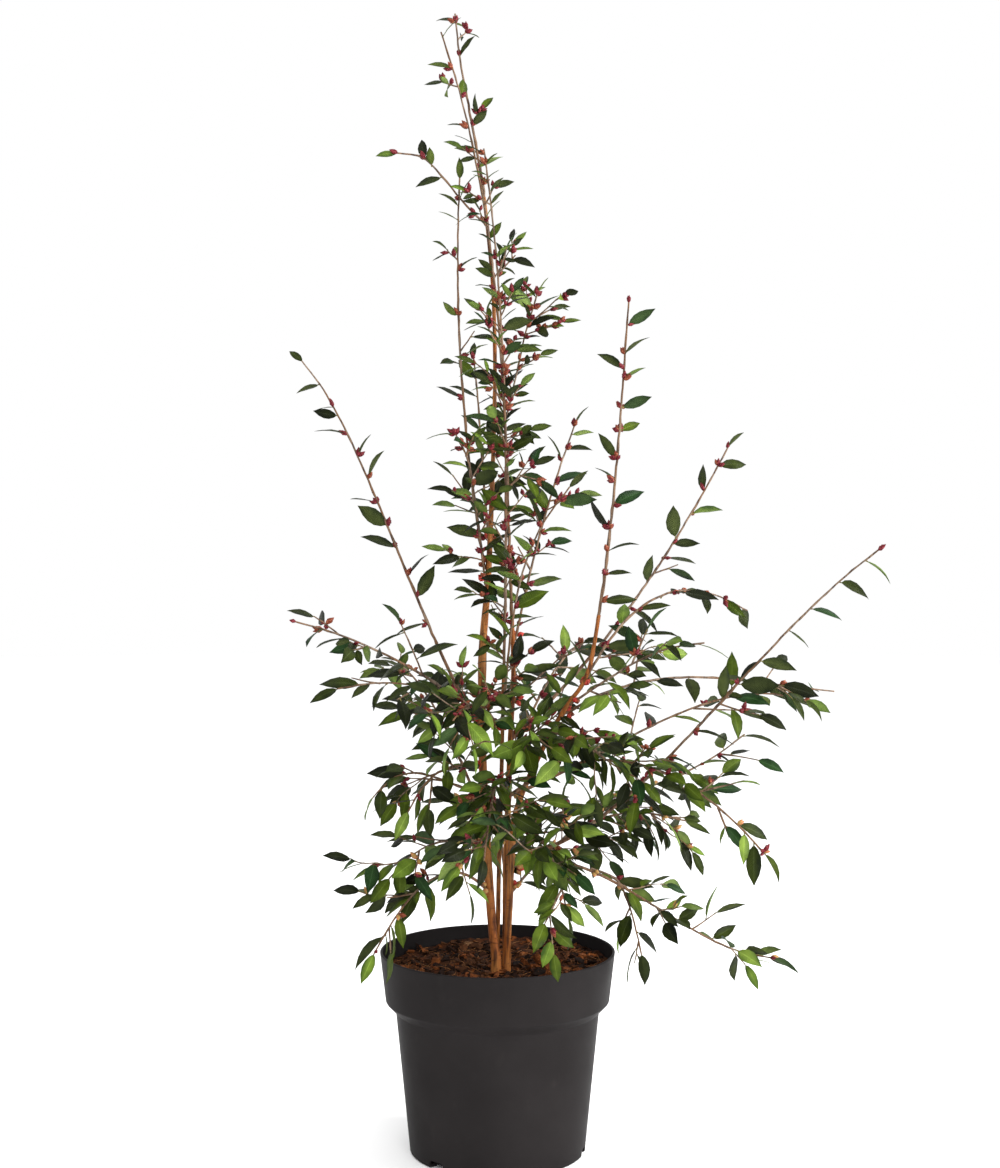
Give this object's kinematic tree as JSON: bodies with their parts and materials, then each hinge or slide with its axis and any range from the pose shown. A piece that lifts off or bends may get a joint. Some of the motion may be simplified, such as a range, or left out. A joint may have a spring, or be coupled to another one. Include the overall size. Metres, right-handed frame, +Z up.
{
  "type": "potted camellia",
  "caption": "Young camellia shrub with thin upright stems, long leafy boughs and small red buds, in a round dark nursery pot that stands on its flat underside.",
  "frame": {"origin": "centre of the pot's flat underside", "axes": "+Z up along the pot's axis, the plant's front faces -Y, its long right bough reaches towards +X"},
  "size_m": [0.5652, 0.3974, 1.1071],
  "materials": {
    "charcoal_plastic": "matte moulded plastic",
    "potting_soil": "coarse bark and fibre potting mix",
    "stem_bark": "smooth cinnamon bark",
    "young_bark": "smooth brown bark of young boughs",
    "foliage": "glossy dark green leaves on thin brown twigs"
  },
  "bodies": {
    "root": {"bough_back_left": "young_bark", "bough_back_low": "young_bark", "bough_back_right": "young_bark", "bough_front_low": "young_bark", "bough_left_hanging": "young_bark", "bough_left_low": "young_bark", "bough_left_middle": "young_bark", "bough_left_out": "young_bark", "bough_left_tall": "young_bark", "bough_right_drooping": "young_bark", "bough_right_long": "young_bark", "bough_right_low": "young_bark", "bough_right_middle": "young_bark", "bough_right_short": "young_bark", "bough_right_tall": "young_bark", "foliage_back_left": "foliage", "foliage_back_low": "foliage", "foliage_back_right": "foliage", "foliage_centre_left": "foliage", "foliage_centre_right": "foliage", "foliage_column_back": "foliage", "foliage_column_front": "foliage", "foliage_column_high": "foliage", "foliage_column_left": "foliage", "foliage_column_right": "foliage", "foliage_front_bough": "foliage", "foliage_front_hanging": "foliage", "foliage_front_low": "foliage", "foliage_leader_top": "foliage", "foliage_left_hanging": "foliage", "foliage_left_low": "foliage", "foliage_left_middle": "foliage", "foliage_left_out": "foliage", "foliage_left_tall": "foliage", "foliage_left_under": "foliage", "foliage_low_right": "foliage", "foliage_right_arching": "foliage", "foliage_right_drooping": "foliage", "foliage_right_forward": "foliage", "foliage_right_inner": "foliage", "foliage_right_level": "foliage", "foliage_right_long": "foliage", "foliage_right_low": "foliage", "foliage_right_middle": "foliage", "foliage_right_short": "foliage", "foliage_right_tall": "foliage", "foliage_right_top": "foliage", "foliage_rim_hanging": "foliage", "foliage_second_top": "foliage", "foliage_thin_left": "foliage", "foliage_third_top": "foliage", "foliage_top_left": "foliage", "pot": "charcoal_plastic", "right_stem": "stem_bark", "second_stem": "stem_bark", "soil": "potting_soil", "third_stem": "stem_bark", "trunk": "stem_bark"}
  },
  "joints": []
}
